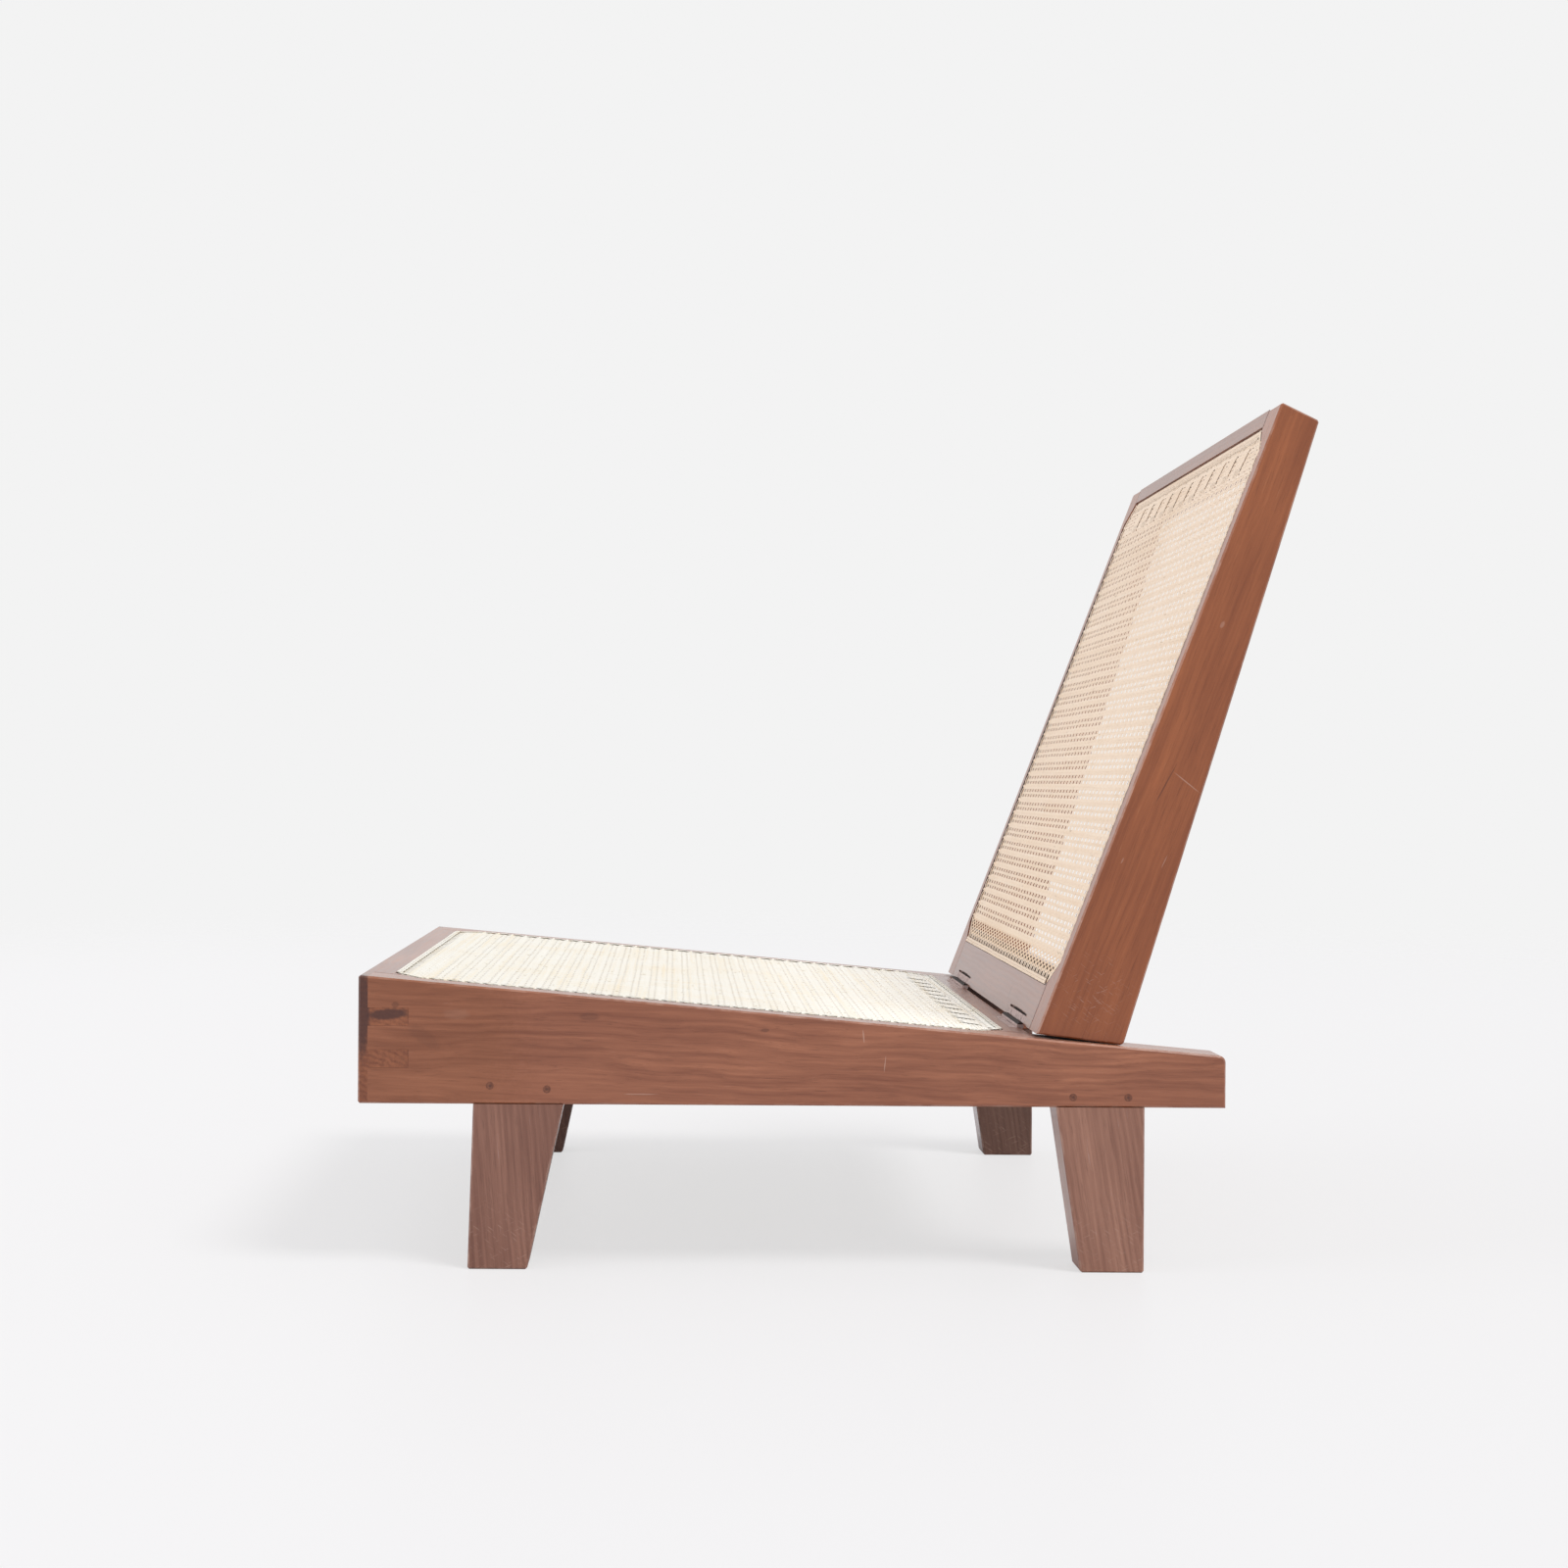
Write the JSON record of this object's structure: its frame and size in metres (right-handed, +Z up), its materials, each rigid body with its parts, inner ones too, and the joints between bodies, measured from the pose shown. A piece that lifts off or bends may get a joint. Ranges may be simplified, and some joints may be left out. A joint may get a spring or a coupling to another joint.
{
  "type": "folding lounge chair",
  "caption": "Low armless lounge chair in wood with a woven cane seat and a caned back that folds forward flat onto the seat on butt hinges.",
  "frame": {"origin": "on the floor, in the middle of the chair's length and width", "axes": "+X to the sitter's left, -Y towards the front of the seat, +Z up"},
  "size_m": [0.55, 0.8022, 0.7297],
  "materials": {
    "seat_wood": "oiled reddish teak with a dull sheen, edges worn",
    "back_wood": "oiled reddish teak with a dull sheen, edges worn",
    "leg_wood": "older, drier teak, scuffed at the feet",
    "peg_wood": "dark end grain",
    "seat_cane": "pale natural cane, satin skin",
    "back_cane": "natural cane, satin skin",
    "cane_binding": "flat natural cane, satin skin",
    "hinge_metal": "aged steel with brown patina",
    "screw_metal": "aged steel"
  },
  "bodies": {
    "seat_frame": {"seat_side_left": "seat_wood", "seat_side_right": "seat_wood", "seat_front_rail": "seat_wood", "seat_rear_rail": "seat_wood", "front_leg_left": "leg_wood", "front_leg_right": "leg_wood", "rear_leg_left": "leg_wood", "rear_leg_right": "leg_wood", "leg_pegs_left": "peg_wood", "leg_pegs_right": "peg_wood", "seat_cane": "seat_cane", "seat_cane_binding": "cane_binding", "hinge_seat_leaf_left": "hinge_metal", "hinge_seat_leaf_right": "hinge_metal", "hinge_pin_left": "hinge_metal", "hinge_pin_right": "hinge_metal", "seat_leaf_screws": "screw_metal"},
    "backrest": {"back_stile_left": "back_wood", "back_stile_right": "back_wood", "back_top_rail": "back_wood", "back_bottom_rail": "back_wood", "back_cane": "back_cane", "back_cane_binding": "cane_binding", "hinge_back_leaf_left": "hinge_metal", "hinge_back_leaf_right": "hinge_metal", "back_leaf_screws": "screw_metal"}
  },
  "joints": [
    {"name": "backrest_fold", "type": "hinge", "parent": "seat_frame", "child": "backrest", "pos_m": [0, 0.16485, 0.19678], "axis": [1, 0, 0], "range_deg": [0, 105]}
  ]
}
